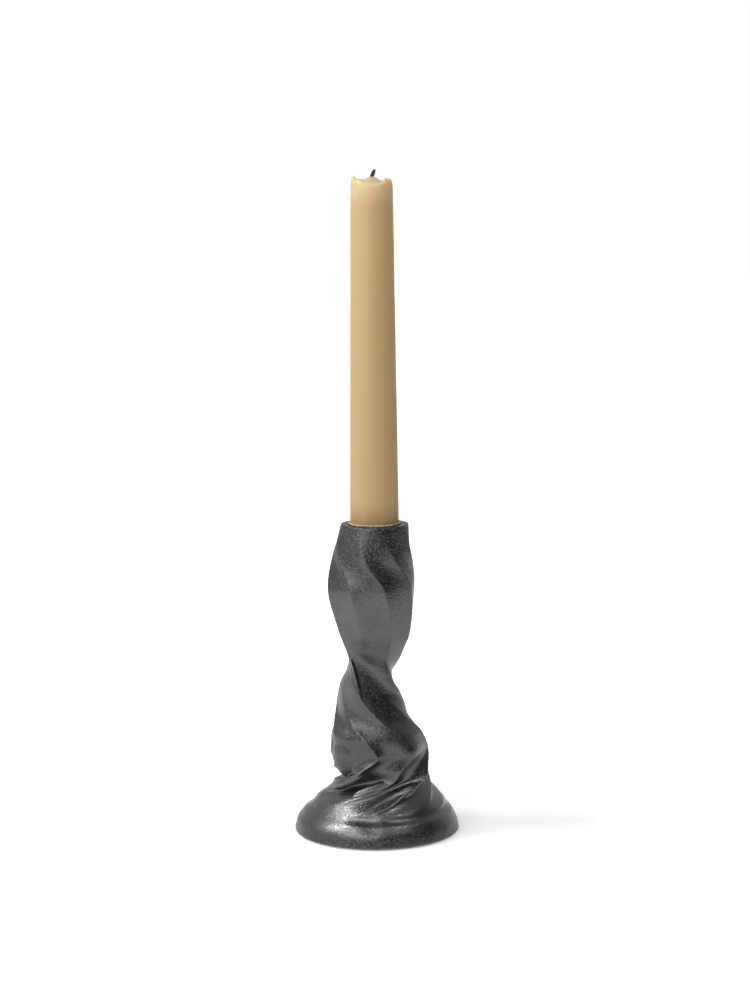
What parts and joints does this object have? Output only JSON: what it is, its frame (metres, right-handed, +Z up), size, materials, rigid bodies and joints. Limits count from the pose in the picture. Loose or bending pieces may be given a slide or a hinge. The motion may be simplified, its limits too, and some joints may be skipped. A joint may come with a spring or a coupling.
{
  "type": "spiral candle holder",
  "caption": "Cast metal candle holder with twisted ridges, a round domed foot, a felt pad underneath and a tapered candle that lifts out of its socket.",
  "frame": {"origin": "centre of the underside of the felt pad, where the holder stands on the table", "axes": "+Z up along the candle, -Y towards the front, +X to the right seen from the front"},
  "size_m": [0.0748, 0.0748, 0.2984],
  "materials": {
    "blackened_metal": "sand-cast skin, blackened and waxed, with rubbed bright ridges",
    "felt": "pressed felt",
    "wax": "satin candle wax, a little translucent",
    "wick": "charred cotton"
  },
  "bodies": {
    "holder": {"cast_holder": "blackened_metal", "felt_pad": "felt"},
    "candle": {"candle": "wax", "wick": "wick", "wax_collar": "wax"}
  },
  "joints": [
    {"name": "candle_lift", "type": "slide", "parent": "holder", "child": "candle", "axis": [0, 0, 1], "range_m": [0, 0.03]}
  ]
}
